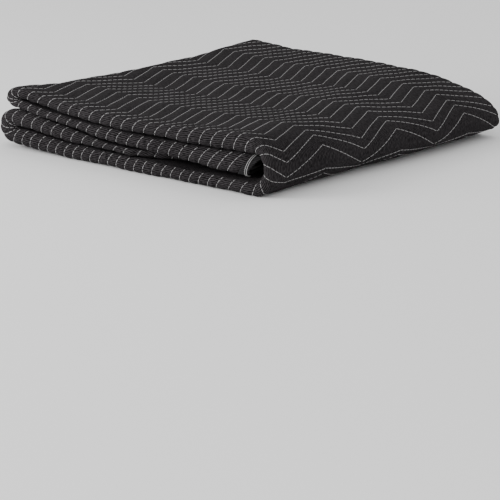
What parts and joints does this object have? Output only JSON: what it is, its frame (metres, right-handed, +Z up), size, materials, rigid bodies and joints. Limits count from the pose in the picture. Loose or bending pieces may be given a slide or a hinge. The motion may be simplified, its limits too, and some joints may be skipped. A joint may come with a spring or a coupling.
{
  "type": "moving pad",
  "caption": "Charcoal quilted furniture blanket folded into a square of sixteen layers, with zigzag stitching and bound edges.",
  "frame": {"origin": "centre of the folded pad's footprint, on the surface it rests on", "axes": "+Z up through the layers, +X out of the big rounded fold, -Y out of the side where the four folded ridges show"},
  "size_m": [0.5088, 0.5077, 0.0907],
  "materials": {
    "quilted_cloth": "matte woven cotton blend",
    "binding_tape": "matte woven tape"
  },
  "bodies": {
    "root": {"quilted_pad": "quilted_cloth", "edge_binding_outer": "binding_tape", "edge_binding_inner": "binding_tape", "end_binding_upper": "binding_tape", "end_binding_lower": "binding_tape"}
  },
  "joints": []
}
